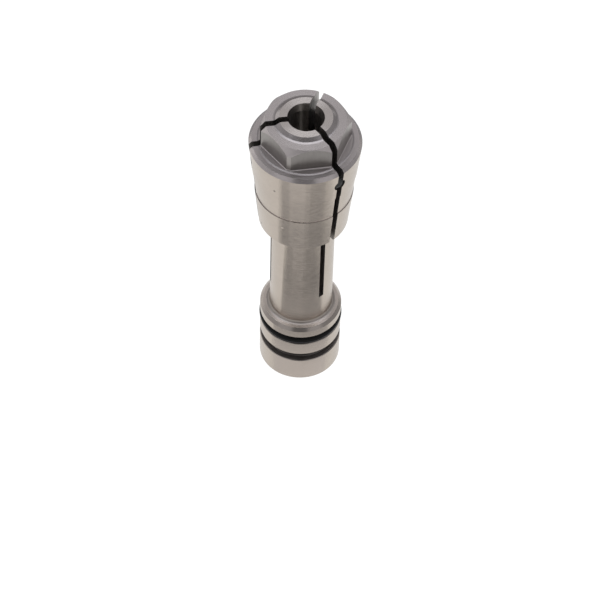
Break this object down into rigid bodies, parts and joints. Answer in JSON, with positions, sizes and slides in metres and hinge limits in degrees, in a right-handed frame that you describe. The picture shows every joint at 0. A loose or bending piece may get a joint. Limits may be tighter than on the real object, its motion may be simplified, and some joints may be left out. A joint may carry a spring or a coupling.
{
  "type": "spring collet",
  "caption": "Slotted spring collet with a tapered head, a hexagonal nose, a slim shank and a sealing ring near its rear end.",
  "frame": {"origin": "centre of the flat rear face, which the collet stands on", "axes": "+Z along the collet's axis towards the hexagonal nose; +Y through the first slot"},
  "size_m": [0.0112, 0.0111, 0.0373],
  "materials": {
    "turned_steel": "fine turned and ground, satin on the milled flats",
    "seal_rubber": "smooth black moulded rubber",
    "plug_rubber": "dull dark grey rubber"
  },
  "bodies": {
    "root": {"collet_body": "turned_steel", "seal_ring": "seal_rubber", "slot_plug_1": "plug_rubber", "slot_plug_2": "plug_rubber", "slot_plug_3": "plug_rubber"}
  },
  "joints": []
}
